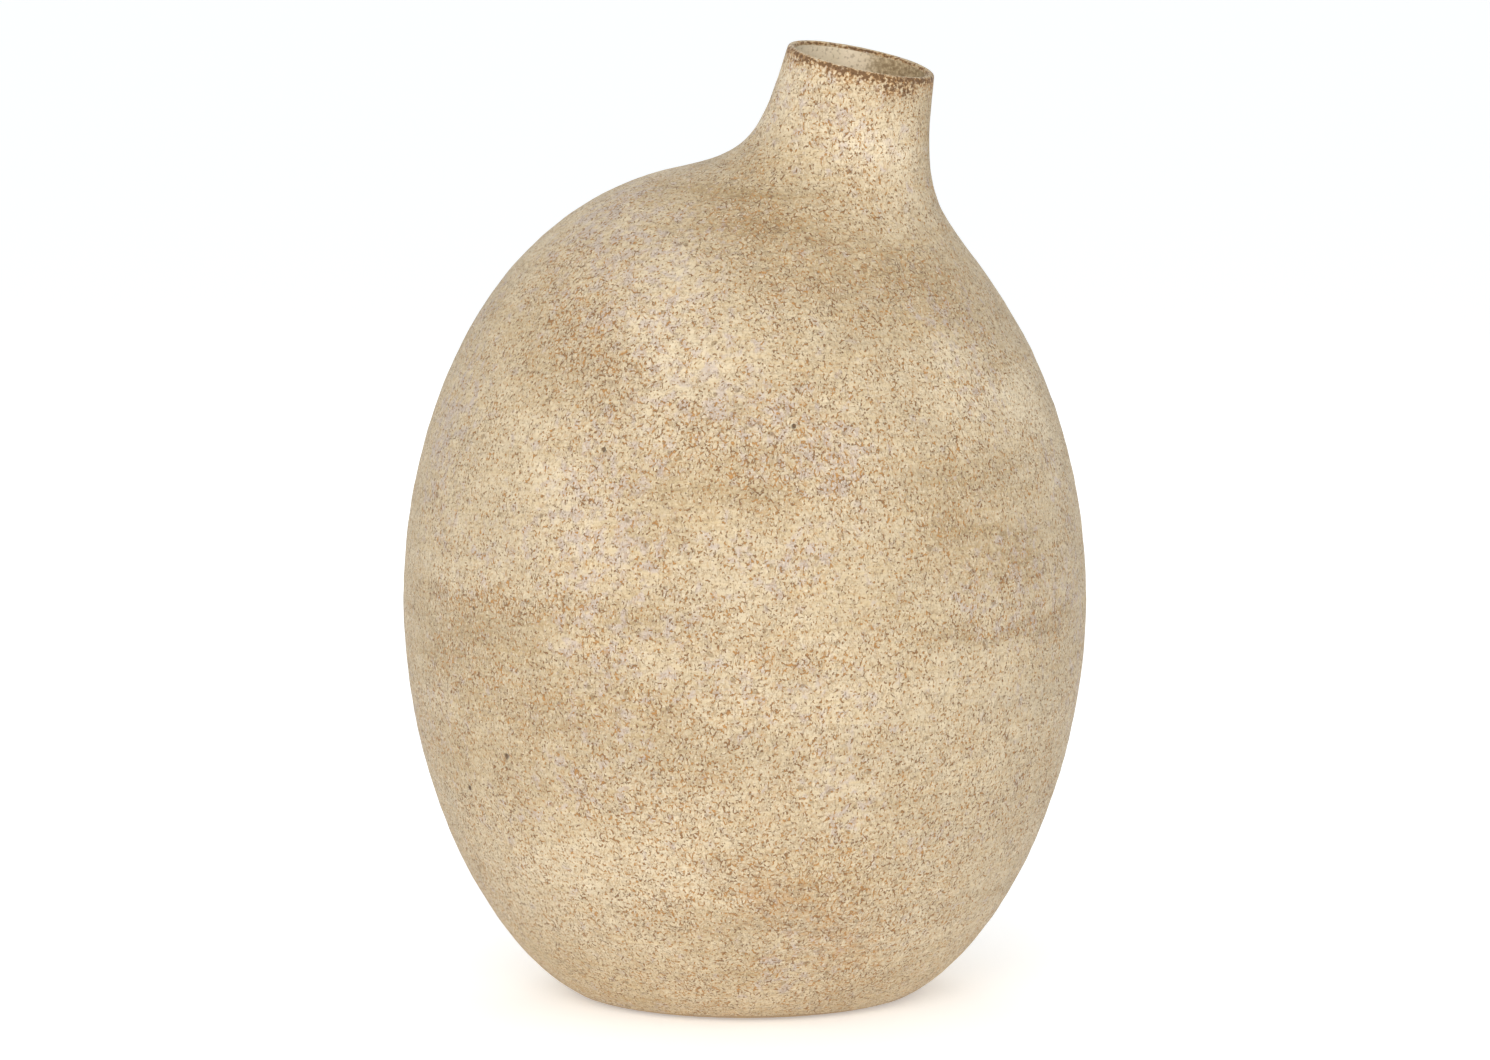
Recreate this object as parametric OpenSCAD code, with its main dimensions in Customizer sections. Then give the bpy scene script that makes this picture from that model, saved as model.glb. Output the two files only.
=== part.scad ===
// Egg-shaped stoneware vase with a short neck that leans outwards from one shoulder.
// The clay pieces come apart along the joints where a potter lutes them together.
// Millimetres, +Z up, +X towards the neck. The origin is the centre of the footprint.

/* [Body] */
// Outer radius of the belly, the widest ring
belly_r = 140; // [110:1:170]
// Height of the belly above the table
belly_z = 162.5; // [130:0.5:200]
// Height at which the upper half would close on the axis, were there no neck
crown_z = 341.5; // [300:0.5:400]
// Fullness of the upper half, where 2 is an ellipse
shoulder_fullness = 2.22; // [2:0.01:2.5]
// Fullness of the lower half, where 2 is an ellipse
base_fullness = 1.47; // [1.3:0.01:1.8]
// Thickness of the thrown wall
wall_t = 7; // [5:0.5:9]

/* [Foot] */
// Radius that the body narrows to at table height
foot_r = 66.5; // [50:0.5:85]
// Height of the clay floor's upper face above the table
floor_top_z = 11; // [9:0.5:15]
// Width of the ring that the vase stands on
foot_ring_w = 10; // [6:0.5:16]
// Depth of the turned recess inside the foot ring
recess_d = 2; // [1:0.5:4]

/* [Neck] */
// Distance of the lip's centre from the body's axis
lip_x = 53.2; // [35:0.2:60]
// Height of the lip's centre above the crown
neck_rise = 42.8; // [30:0.2:60]
// Outer radius of the neck at the lip
lip_r = 30.6; // [24:0.2:38]
// Thickness of the rounded lip
lip_t = 4; // [3:0.5:6]
// Lean of the neck's axis from upright, in degrees
neck_lean = 13.5; // [5:0.5:20]
// Flare of the neck's side just below the lip, in degrees
neck_flare = 4.8; // [0:0.2:10]
// Distance of the middle of the neck's skirt from the body's axis
skirt_x = 57; // [45:0.5:62]
// Depth of the flat cut for the neck below the dome's skin
skirt_cut = 30; // [18:0.5:32]
// Straightness of the curve at the lip, as a share of the distance it spans
lip_pull = 0.55; // [0.4:0.01:0.6]
// Straightness of the curve at the skirt, as a share of the distance it spans
skirt_pull = 0.51; // [0.4:0.01:0.6]

/* [Joints] */
// Width of the V tongue where it leaves its face
tongue_w = 3; // [2:0.1:3.5]
// Height of the V tongue
tongue_h = 2; // [1.5:0.1:3]
// Slip-filled gap between a tongue and its groove
joint_gap = 0.15; // [0.1:0.05:0.3]

/* [Felt pads] */
// Number of pads under the foot
pad_count = 4; // [3:1:6]
// Radius of a pad
pad_r = 10; // [6:0.5:12]
// Distance that the pads stand below the foot ring
pad_proud = 1; // [0.5:0.1:2]
// Gap between a pad and the edge of the recess
pad_margin = 3; // [2:0.5:6]

/* [Hidden] */

clay = [0.85, 0.78, 0.65];
felt = [0.45, 0.40, 0.34];
$fn = 180;
outline_steps = 30;
around_steps = 72;
outer_rows = 22;
inner_rows = 16;
lip_rows = 8;

// The value between lo and hi at which f rises through nought
function bisect(f, lo, hi, turns = 40) =
    let (mid = (lo + hi) / 2)
    turns == 0 ? mid : f(mid) < 0 ? bisect(f, mid, hi, turns - 1) : bisect(f, lo, mid, turns - 1);

function unit(v) = v / norm(v);

// ---- Outlines of the body, as [radius, height] at an angle t from the belly ----

// Upper half: a superellipse, drawn inset inside the outer skin
function shoulder(t, inset) = [
    (belly_r - inset) * pow(cos(t), 2 / shoulder_fullness),
    belly_z + (crown_z - inset - belly_z) * sin(t)
];

// Lower half: a superellipse that narrows to the foot
function base(t) = [
    foot_r + (belly_r - foot_r) * pow(cos(t), 2 / base_fullness),
    belly_z * (1 - sin(t))
];

// Inner skin of the lower half: the outer one, moved wall_t along its normal
function base_inner(t) =
    let (along = unit(base(t + 0.1) - base(t - 0.1)))
    base(t) + wall_t * [along[1], -along[0]];

// ---- Heights of the joints and what is worked out from them ----

foot_z = pad_proud;
floor_t = asin(1 - floor_top_z / belly_z);
foot_t = asin(1 - foot_z / belly_z);
inner_floor_t = bisect(function(t) floor_top_z - base_inner(t)[1], 0, foot_t);
floor_joint_r = (base(floor_t)[0] + base_inner(inner_floor_t)[0]) / 2;
belly_joint_r = belly_r - wall_t / 2;
recess_r = base(foot_t)[0] - foot_ring_w;
recess_top_z = foot_z + recess_d;
pad_circle_r = recess_r - recess_d - pad_margin - pad_r;

// A V of the joint at radius r on a face at height z, from the inside out. It points down
function v_points(r, z, grow) = [
    [r - tongue_w / 2 - grow, z],
    [r, z - tongue_h - grow],
    [r + tongue_w / 2 + grow, z]
];

function reversed(list) = [for (k = [len(list) - 1:-1:0]) list[k]];

// ---- Where the neck meets the dome ----

// Nought on the shoulder's skin, less than nought inside it
function shoulder_side(p, inset) =
    pow(max(p[2] - belly_z, 0) / (crown_z - inset - belly_z), 2)
    + pow(norm([p[0], p[1]]) / (belly_r - inset), shoulder_fullness) - 1;

// Outward normal of the shoulder's skin
function shoulder_normal(p, inset) =
    let (
        r = norm([p[0], p[1]]),
        pull = shoulder_fullness * pow(r / (belly_r - inset), shoulder_fullness) / pow(r, 2)
    )
    unit([pull * p[0], pull * p[1], 2 * (p[2] - belly_z) / pow(crown_z - inset - belly_z, 2)]);

skirt_top = [skirt_x, 0, bisect(function(z) shoulder_side([skirt_x, 0, z], 0), belly_z, crown_z)];
skirt_axis = shoulder_normal(skirt_top, 0);
skirt_centre = skirt_top - skirt_cut * skirt_axis;
skirt_tilt = atan2(skirt_axis[0], skirt_axis[2]);

// Point of the cut plane where the skin passes through it, at angle a round the skirt
function skirt_point(a, inset) =
    let (
        spoke = [cos(a) * skirt_axis[2], sin(a), -cos(a) * skirt_axis[0]],
        reach = bisect(function(d) shoulder_side(skirt_centre + d * spoke, inset), 0, belly_r)
    )
    skirt_centre + reach * spoke;

neck_axis = [sin(neck_lean), 0, cos(neck_lean)];
lip_centre = [lip_x, 0, crown_z + neck_rise] - neck_axis * lip_t / 2;

function neck_spoke(a) = [cos(a) * neck_axis[2], sin(a), -cos(a) * neck_axis[0]];

// Cubic curve from the lip down to the cut, which leaves the neck at its flare and
// meets the dome along its skin. k runs from 0 at the lip to 1 at the cut
function neck_curve(a, k, lip_radius, inset) =
    let (
        start = lip_centre + lip_radius * neck_spoke(a),
        stop = skirt_point(a, inset),
        down = neck_spoke(a) * sin(neck_flare) - neck_axis * cos(neck_flare),
        skin = shoulder_normal(stop, inset),
        to_top = skirt_top - stop,
        up = unit(to_top - (to_top * skin) * skin),
        span = norm(stop - start),
        p1 = start + lip_pull * span * down,
        p2 = stop + skirt_pull * span * up
    )
    pow(1 - k, 3) * start + 3 * pow(1 - k, 2) * k * p1 + 3 * (1 - k) * k * k * p2 + k * k * k * stop;

// Half round over the lip, from its outer edge to its inner one
function lip_point(a, turn) =
    lip_centre
    + neck_spoke(a) * (lip_r - lip_t / 2 + lip_t / 2 * cos(turn))
    + neck_axis * lip_t / 2 * sin(turn);

// One closed section of the neck: up the outside, over the lip and down the inside
function neck_section(a) = concat(
    [for (k = [outer_rows:-1:0]) neck_curve(a, k / outer_rows, lip_r, 0)],
    [for (k = [1:lip_rows - 1]) lip_point(a, 180 * k / lip_rows)],
    [for (k = [0:inner_rows]) neck_curve(a, k / inner_rows, lip_r - lip_t, wall_t)]
);

// ---- Pieces ----

// Clay floor, with the foot ring, the turned recess and the groove for the wall
module base_slab() {
    side = [for (k = [0:outline_steps]) base(floor_t + (foot_t - floor_t) * k / outline_steps)];
    underside = [
        [recess_r, foot_z],
        [recess_r - recess_d, recess_top_z],
        [0, recess_top_z],
        [0, floor_top_z]
    ];
    groove = v_points(floor_joint_r, floor_top_z, joint_gap);
    color(clay) rotate_extrude() polygon(concat(side, underside, groove));
}

// Lower half of the body, with a tongue below and a groove in its rim
module lower_bowl() {
    outside = [for (k = [0:outline_steps]) base(floor_t * k / outline_steps)];
    tongue = reversed(v_points(floor_joint_r, floor_top_z, 0));
    inside = [for (k = [outline_steps:-1:0]) base_inner(inner_floor_t * k / outline_steps)];
    groove = v_points(belly_joint_r, belly_z, joint_gap);
    color(clay) rotate_extrude() polygon(concat(outside, tongue, inside, groove));
}

// Upper half of the body, with a tongue below and a flat cut for the neck
module upper_dome() {
    outside = [for (k = [0:outline_steps]) shoulder(90 * k / outline_steps, 0)];
    inside = [for (k = [outline_steps:-1:0]) shoulder(90 * k / outline_steps, wall_t)];
    tongue = v_points(belly_joint_r, belly_z, 0);
    cut_size = 3 * belly_r;
    color(clay) difference() {
        rotate_extrude() polygon(concat(outside, inside, tongue));
        translate(skirt_centre) rotate([0, skirt_tilt, 0])
            translate([-cut_size / 2, -cut_size / 2, 0]) cube(cut_size);
    }
}

// Neck with its rounded lip and the skirt that runs out on to the dome
module neck_collar() {
    sections = [for (j = [0:around_steps - 1]) neck_section(360 * j / around_steps)];
    rows = len(sections[0]);
    points = [for (section = sections) each section];
    faces = [
        for (j = [0:around_steps - 1], i = [0:rows - 1])
            let (next_j = (j + 1) % around_steps, next_i = (i + 1) % rows)
            each [
                [j * rows + i, j * rows + next_i, next_j * rows + i],
                [next_j * rows + i, j * rows + next_i, next_j * rows + next_i]
            ]
    ];
    color(clay) polyhedron(points = points, faces = faces);
}

// Self-adhesive felt dot number k, stuck in the recess
module felt_pad(k) {
    color(felt) rotate([0, 0, 360 * (k - 0.5) / pad_count])
        translate([pad_circle_r, 0, 0]) cylinder(h = recess_top_z, r = pad_r);
}

base_slab();
lower_bowl();
upper_dome();
neck_collar();
for (k = [1:pad_count]) {
    felt_pad(k);
}
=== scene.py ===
"""Looks of a stoneware vase whose short neck leans outwards from one shoulder.

Every piece is a closed skin worked out on a grid: a section of the clay, carried round the
vase. The cream crackled slip, its washes and its pits are laid on in the vase's own place.
"""

import itertools
import math

import bpy
import numpy as np
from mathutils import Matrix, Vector


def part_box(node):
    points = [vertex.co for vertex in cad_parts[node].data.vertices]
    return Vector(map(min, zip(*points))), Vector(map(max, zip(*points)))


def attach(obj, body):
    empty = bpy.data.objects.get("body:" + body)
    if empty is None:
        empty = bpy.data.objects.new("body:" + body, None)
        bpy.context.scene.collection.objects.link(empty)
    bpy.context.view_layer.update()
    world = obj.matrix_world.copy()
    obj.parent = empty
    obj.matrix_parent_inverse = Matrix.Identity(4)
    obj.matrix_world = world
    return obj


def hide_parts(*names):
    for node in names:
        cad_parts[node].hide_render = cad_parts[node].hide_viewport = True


bl_info = {
    "name": "Stoneware vase with a leaning neck",
    "version": (1, 0, 0),
    "blender": (4, 5, 0),
    "location": "3D View > Sidebar > Vase",
    "description": "Makes the vase's clay pieces, its felt pads and a plain studio",
    "category": "Object",
}

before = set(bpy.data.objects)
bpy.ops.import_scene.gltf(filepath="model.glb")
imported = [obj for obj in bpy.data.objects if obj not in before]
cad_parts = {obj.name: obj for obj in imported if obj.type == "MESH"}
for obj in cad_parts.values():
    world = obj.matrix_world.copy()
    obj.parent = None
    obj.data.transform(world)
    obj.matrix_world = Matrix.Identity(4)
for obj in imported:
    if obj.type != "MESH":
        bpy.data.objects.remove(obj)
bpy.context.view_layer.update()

MM = 0.001
BOWL_LOW, BOWL_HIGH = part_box("lower_bowl")
SLAB_LOW, SLAB_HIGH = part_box("base_slab")
SLIP, INSIDE, BARE = 0, 1, 2
BODY_COLUMNS, NECK_COLUMNS, SLAB_COLUMNS, PAD_COLUMNS = 600, 520, 480, 120


# ---- Sizes and colours ----


def amount(name, description, default, **kind):
    """A number that can be changed, with its unit or subtype."""
    return bpy.props.FloatProperty(name=name, description=description, default=default, **kind)


def length(name, description, default):
    """A length that can be changed, in metres."""
    return amount(name, description, default, unit="LENGTH")


def colour(name, description, default):
    """A colour that can be changed."""
    settings = {"name": name, "description": description, "default": default}
    return bpy.props.FloatVectorProperty(subtype="COLOR", **settings)


class VaseBody(bpy.types.PropertyGroup):
    """Outline and wall of the thrown body."""

    belly_radius: length("Belly radius", "Outer radius of the widest ring", (BOWL_HIGH.x - BOWL_LOW.x) / 2)
    belly_height: length("Belly height", "Height of the widest ring above the table", BOWL_HIGH.z)
    crown_height: length(
        "Crown height", "Height at which the upper half would close, were there no neck", 0.3415
    )
    shoulder_fullness: amount(
        "Shoulder fullness", "Power of the upper outline, where 2 is an ellipse", 2.22
    )
    base_fullness: amount("Base fullness", "Power of the lower outline, where 2 is an ellipse", 1.47)
    wall: length("Wall", "Thickness of the thrown wall", 0.007)
    foot_radius: length("Foot radius", "Radius that the body narrows to at table height", 0.0665)
    floor_height: length("Floor height", "Height of the clay floor's upper face", SLAB_HIGH.z)
    foot_height: length("Foot height", "Height of the foot ring above the table, on its pads", SLAB_LOW.z)
    foot_ring: length("Foot ring", "Width of the ring that the vase stands on", 0.010)
    recess: length("Recess", "Depth of the turned recess inside the foot ring", 0.002)
    tongue_width: length("Tongue width", "Width of the V tongue in the joints", 0.003)
    tongue_height: length("Tongue height", "Height of the V tongue in the joints", 0.002)
    joint_gap: length("Joint gap", "Gap between a tongue and its groove", 0.00015)


class VaseNeck(bpy.types.PropertyGroup):
    """The leaning neck, its lip and its skirt."""

    lip_reach: length("Lip reach", "Distance of the lip's centre from the body's axis", 0.0532)
    lip_rise: length("Lip rise", "Height of the lip's centre above the crown", 0.0428)
    lip_radius: length("Lip radius", "Outer radius of the neck at the lip", 0.0306)
    lip_thickness: length("Lip thickness", "Thickness of the rounded lip", 0.004)
    lean: amount("Lean", "Lean of the neck's axis from upright", math.radians(13.5), unit="ROTATION")
    flare: amount(
        "Flare", "Flare of the neck's side just below the lip", math.radians(4.8), unit="ROTATION"
    )
    skirt_reach: length("Skirt reach", "Distance of the skirt's middle from the body's axis", 0.057)
    skirt_cut: length("Skirt cut", "Depth of the flat joint below the dome's skin", 0.030)
    lip_pull: amount("Pull at the lip", "Straightness of the curve at the lip", 0.55, subtype="FACTOR")
    skirt_pull: amount(
        "Pull at the skirt", "Straightness of the curve at the skirt", 0.51, subtype="FACTOR"
    )


class VaseSlip(bpy.types.PropertyGroup):
    """Colours of the slip, its washes and the clay under it."""

    cream: colour("Cream", "Ground colour of the slip", (0.590, 0.474, 0.314))
    # Pale also paints highlights: on the pebbles' tops, beside the dashes and where the lightness holds
    # painted highlights.
    pale: colour("Pale", "Rubbed high spots of the slip", (0.700, 0.600, 0.440))
    ochre: colour("Ochre", "Thin ochre wash", (0.455, 0.322, 0.148))
    brown: colour("Brown", "Thick brown wash", (0.215, 0.140, 0.068))
    crack: colour("Crack", "Stain held in the cracks", (0.215, 0.096, 0.026))
    rust: colour("Rust", "Thinner stain in the cracks", (0.420, 0.200, 0.050))
    burnt: colour("Burnt", "Dark stain along the lip and in the pits", (0.120, 0.056, 0.018))
    lavender: colour("Lavender", "Grey blotches under the slip", (0.500, 0.415, 0.375))
    clay: colour("Clay", "Bare fired clay", (0.430, 0.310, 0.200))
    felt: colour("Felt", "Wool felt of the pads", (0.300, 0.260, 0.220))


# ---- Noise and small sums ----


def unit(vectors):
    """Each vector divided by its own length."""
    return vectors / np.linalg.norm(vectors, axis=-1, keepdims=True)


def smooth(values, low, high):
    """Nought below low, one above high, and 3t^2 - 2t^3 in between."""
    t = np.clip((values - low) / (high - low), 0, 1)
    return t * t * (3 - 2 * t)


def noise(points, size, seed, stretch=(1, 1, 1)):
    """Gradient noise from about -1 to 1, whose lumps are about size across.

    Each corner of a unit cell has a seeded slope. The slopes' heights at the point are
    mixed with the weights 6t^5 - 15t^4 + 10t^3.
    """
    rng = np.random.default_rng(seed)
    order = rng.permutation(256)
    slopes = unit(rng.normal(size=(256, 3)))
    place = points / (size * np.array(stretch)) + rng.uniform(0, 90, 3)
    cell = np.floor(place).astype(int)
    part = place - cell
    ease = part ** 3 * (part * (part * 6 - 15) + 10)
    total = 0
    for corner in itertools.product((0, 1), repeat=3):
        x, y, z = np.moveaxis(cell + corner, -1, 0)
        slope = slopes[order[(order[(order[x & 255] + y) & 255] + z) & 255]]
        weight = np.prod(np.where(corner, ease, 1 - ease), axis=-1)
        total = total + weight * ((part - corner) * slope).sum(-1)
    return total * 1.6


def bisect(rises, low, high):
    """Where a rising function of an array passes nought, found by 40 halvings."""
    for _ in range(40):
        middle = (low + high) / 2
        under = rises(middle) < 0
        low = np.where(under, middle, low)
        high = np.where(under, high, middle)
    return (low + high) / 2


# ---- Outlines of the body ----


def shoulder(t, body, inset):
    """Upper outline: r = R cos(t)^(2/n) and z = belly + H sin(t), inset within the skin."""
    reach = body.belly_radius - inset
    rise = body.crown_height - inset - body.belly_height
    radius = reach * np.cos(t) ** (2 / body.shoulder_fullness)
    return radius, body.belly_height + rise * np.sin(t)


def base(t, body):
    """Lower outline: r = foot + (R - foot) cos(t)^(2/n) and z = belly (1 - sin(t))."""
    narrow = body.belly_radius - body.foot_radius
    radius = body.foot_radius + narrow * np.cos(t) ** (2 / body.base_fullness)
    return radius, body.belly_height * (1 - np.sin(t))


def slope_of(outline, t):
    """Unit step along an outline, from the points just before and after t."""
    before = np.stack(outline(t - 0.0015), -1)
    after = np.stack(outline(t + 0.0015), -1)
    step = unit(after - before)
    return step[..., 0], step[..., 1]


def base_inner(t, body):
    """Inner skin of the lower half: the lower outline moved a wall along its normal."""
    along_r, along_z = slope_of(lambda s: base(s, body), t)
    radius, height = base(t, body)
    return radius + body.wall * along_z, height - body.wall * along_r


def height_param(body, height):
    """The t at which the lower outline is at a height: asin(1 - height / belly)."""
    return math.asin(1 - height / body.belly_height)


def inner_floor_param(body):
    """The t at which the inner skin of the lower half meets the clay floor."""
    low, high = np.zeros(1), np.full(1, height_param(body, body.foot_height))
    rises = lambda t: body.floor_height - base_inner(t, body)[1]
    return float(bisect(rises, low, high)[0])


def bearings(count):
    """Angles of the columns round the vase, anticlockwise from +X."""
    return np.arange(count) * (2 * math.pi / count)


def turned(radius, height, angles):
    """Points of an outline carried round the axis: (r cos, r sin, z)."""
    radius = np.broadcast_to(np.asarray(radius, float), np.broadcast(radius, angles).shape)
    height = np.broadcast_to(height, radius.shape)
    return np.stack([radius * np.cos(angles), radius * np.sin(angles), height], -1)


# ---- Relief ----


def skin_relief(points):
    """Height of the outer skin, nought or less: broad lumps, throwing rings and pebbles."""
    lumps = 0.34 * noise(points, 0.070, 11) + 0.13 * noise(points, 0.024, 12)
    rings = 0.11 * noise(points, 0.0075, 13, (14, 14, 1))
    strokes = 0.07 * noise(points, 0.0042, 14, (7, 7, 1))
    pebbles = 0.075 * noise(points, 0.0058, 15)
    total = lumps + rings + strokes + pebbles - 0.42
    return MM * -np.logaddexp(0, -total * 12) / 12


def inner_relief(points):
    """Height of the inner skin, nought or less: the ridges that fingers leave."""
    lumps = 0.3 * noise(points, 0.050, 21)
    ridges = 0.28 * noise(points, 0.0085, 22, (12, 12, 1))
    grain = 0.06 * noise(points, 0.0035, 23)
    return MM * np.minimum(lumps + ridges + grain - 0.45, 0)


def turning_relief(points):
    """Height of the turned underside, nought or less: fine circles round the axis."""
    radius = np.hypot(points[..., 0], points[..., 1])
    circles = 0.05 * np.sin(radius * 2 * math.pi / 0.0021 + 3 * noise(points, 0.02, 31))
    grain = 0.05 * noise(points, 0.0025, 32)
    return MM * np.minimum(circles + grain - 0.09, 0)


def wool_relief(points):
    """Height of the felt, nought or less: soft matted tufts."""
    tufts = 0.09 * noise(points, 0.0013, 41) + 0.06 * noise(points, 0.0007, 42)
    return MM * np.minimum(tufts - 0.1, 0)


def pressed(points, normals, relief):
    """Points moved along their normals by a relief, and normals less the relief's slope."""
    across = unit(np.cross(normals, (0.61, -0.68, 0.41)))
    along = np.cross(normals, across)
    step = 0.3 * MM
    height = relief(points)
    rise_across = (relief(points + step * across) - height) / step
    rise_along = (relief(points + step * along) - height) / step
    bent = normals - rise_across[..., None] * across - rise_along[..., None] * along
    return points + height[..., None] * normals, unit(bent)


# ---- Where the washes, blotches, cracks and painted highlights lie ----

# Each stroke runs from one bearing and height to another, in degrees and millimetres,
# with a half width in millimetres and a strength.
WASHES = (
    # The first four strokes darken the band round the foot of the neck, at heights of about 270 to 340
    # millimetres.
    (-112, 339, -80, 334, 8, 0.5), (-62, 327, -37, 310, 19, 0.54),
    (-37, 310, -9, 293, 19, 0.42), (-9, 293, 8, 270, 16, 0.14),
    (4, 380, 10, 346, 11, 0.75), (-110, 276, -88, 268, 18, 0.22),
    (-77, 221, -59, 217, 12, 0.32), (-28, 222, -12, 217, 14, 0.66),
    (-26, 204, -8, 190, 15, 0.85), (-10, 226, 10, 190, 24, 0.16),
    (-130, 157, -100, 160, 13, 0.85), (-126, 168, -84, 174, 2.5, 0.45),
    (-84, 174, -56, 156, 3.5, 0.3), (-28, 162, 8, 163, 4, 0.55),
    (-114, 136, -78, 133, 17, 0.6), (-124, 112, -96, 104, 15, 0.42),
    (-96, 117, -60, 118, 14, 0.3), (-135, 20, -95, 10, 10, 0.08),
    (-90, 8, -20, 8, 6, 0.12), (60, 250, 100, 236, 15, 0.5),
    (95, 160, 150, 168, 5, 0.5), (60, 150, 95, 140, 16, 0.5),
    (150, 110, 185, 95, 16, 0.55), (40, 60, 75, 48, 14, 0.55),
    (165, 300, 130, 284, 14, 0.55), (180, 210, 200, 196, 16, 0.5),
)
# Pale strokes: partly rubbed pale patches, partly painted highlights, such as the sheen on the neck's
# front and on the belly.
RUBS_AND_HIGHLIGHTS = (
    (-32, 378, -14, 344, 16, 0.62), (-100, 306, -72, 278, 24, 0.5),
    (-120, 306, -98, 300, 16, 0.4), (-16, 264, 4, 248, 18, 0.8),
    (-98, 239, -88, 194, 16, 0.35), (-52, 182, -48, 168, 10, 0.25),
    (-61, 160, -60, 148, 6, 0.5), (-108, 72, -74, 79, 17, 0.52),
    (-90, 57, -75, 62, 14, 0.4), (60, 210, 100, 190, 20, 0.5),
    (120, 60, 160, 75, 18, 0.5), (170, 260, 200, 240, 20, 0.5),
    (30, 120, 60, 110, 18, 0.5), (100, 372, 140, 350, 12, 0.7),
)
OCHRES = (
    (-49, 68, -38, 73, 16, 0.5), (-48, 182, -34, 170, 16, 0.4),
    (4, 380, 10, 346, 12, 0.6), (-135, 22, -95, 12, 14, 0.5),
    (-77, 221, -59, 217, 14, 0.35), (-45, 318, -20, 300, 20, 0.35),
    (90, 120, 120, 100, 18, 0.6), (170, 60, 200, 50, 18, 0.6),
)
LAVENDERS = (
    (-64, 254, -46, 232, 13, 1.0), (-36, 370, -20, 350, 15, 0.55),
    (-124, 318, -100, 300, 16, 0.8), (-134, 240, -128, 200, 14, 0.6),
    (8, 226, 14, 130, 12, 0.55), (-90, 205, -50, 190, 14, 0.45),
    (-108, 300, -74, 284, 20, 0.7), (-74, 268, -60, 256, 17, 0.6),
    (-60, 150, -40, 140, 12, 0.35), (40, 200, 70, 180, 16, 0.6),
    (120, 240, 160, 220, 16, 0.7), (110, 90, 140, 100, 14, 0.5),
)
CRACKS = (
    (-62, 329, -9, 293, 12, 0.45), (-58, 302, -44, 296, 10, 0.8),
    (-108, 286, -86, 258, 16, 0.75), (-126, 172, -84, 174, 4, 1.0),
    (-58, 155, -50, 153, 6, 0.8), (-56, 64, -36, 44, 18, 0.36),
    (-120, 140, -60, 120, 20, 0.25), (-70, 240, -40, 232, 18, 0.4),
    (-30, 164, 8, 163, 5, 0.7), (40, 280, 90, 262, 16, 0.8),
    (120, 150, 180, 130, 20, 0.6),
)
SPOTS = (
    (-24, 176, 6, 182, 14, 1.0), (-62, 160, -46, 150, 9, 0.7),
    (-70, 196, -45, 180, 10, 0.45), (100, 200, 130, 190, 14, 0.8),
)
CREASES = (
    (-56, 60, -36, 34, 17, 0.8), (-74, 328, -10, 300, 14, 0.45),
    (130, 60, 160, 40, 14, 0.8),
)


def stroked(points, strokes):
    """Strength of a set of strokes: exp(-(distance / width)^2), the strongest of them."""
    swayed = points + 0.006 * np.stack(
        [noise(points, 0.022, seed) for seed in (51, 52, 53)], -1
    )
    radius = np.hypot(swayed[..., 0], swayed[..., 1]) / MM
    bearing = np.arctan2(swayed[..., 1], swayed[..., 0])
    height = swayed[..., 2] / MM
    total = np.zeros(radius.shape)
    for from_b, from_h, to_b, to_h, width, strength in strokes:
        turn = np.angle(np.exp(1j * (bearing - math.radians(from_b))))
        across, up = radius * turn, height - from_h
        run, rise = radius * math.radians(to_b - from_b), to_h - from_h
        share = np.clip((across * run + up * rise) / (run * run + rise * rise + 1e-9), 0, 1)
        apart = np.hypot(across - share * run, up - share * rise)
        total = np.maximum(total, strength * np.exp(-((apart / width) ** 2)))
    return total


def slip_marks(points):
    """Wash, lavender, crack and spot strengths at each point, from nought to one."""
    height = points[..., 2] / MM
    streaks = noise(points, 0.006, 61, (14, 14, 1))
    drift = noise(points, 0.060, 62)
    wash = stroked(points, WASHES) * (0.95 + 0.4 * streaks)
    wash = wash + 0.34 * smooth(drift + 0.9 * streaks, 0.2, 0.95)
    lavender = stroked(points, LAVENDERS) + 0.55 * smooth(noise(points, 0.055, 63), 0.1, 0.6)
    cracks = 0.26 + 0.1 * smooth(-height, -150, -60) + 0.42 * stroked(points, CRACKS)
    cracks = cracks + 0.20 * noise(points, 0.024, 64) + 0.10 * noise(points, 0.008, 65)
    spots = stroked(points, SPOTS) + 0.25 * smooth(noise(points, 0.035, 66), 0.15, 0.6)
    return np.clip(np.stack([wash, lavender, cracks, spots], -1), 0, 1)


def slip_tones(points, rim):
    """Crease, lightness, rim and ochre strengths at each point, from nought to one. The lightness holds
    pale rubs, painted highlights and painted light that grows towards the foot.
    """
    height = points[..., 2] / MM
    creases = stroked(points, CREASES)
    bands = 0.5 * noise(points, 0.013, 71, (16, 16, 1)) + 0.5 * noise(points, 0.045, 72)
    # Lightness: random pale bands and rubbed patches, with painted highlights from the pale strokes.
    light = 0.4 + 0.24 * bands + 0.12 * noise(points, 0.014, 73) + 0.42 * stroked(points, RUBS_AND_HIGHLIGHTS)
    # Painted light: lighter towards the foot all round, standing in for light thrown up from the glowing
    # floor.
    light = light + 0.28 * smooth(-height, -70, -10)
    ochre = 0.40 * smooth(-height, -45, -4) + 0.30 * smooth(noise(points, 0.065, 74), 0, 0.6)
    ochre = ochre + stroked(points, OCHRES)
    return np.clip(np.stack([creases, light, rim, ochre], -1), 0, 1)


# ---- Sewing patches into a piece ----


def patch(points, normals, finish, rim=0.0, fresh=False):
    """A grid of points with its normals. It follows the last one, unless it is fresh."""
    return {
        "points": points,
        "normals": normals,
        "finish": finish,
        "rim": np.broadcast_to(rim, points.shape[:2]),
        "fresh": fresh,
    }


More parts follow.
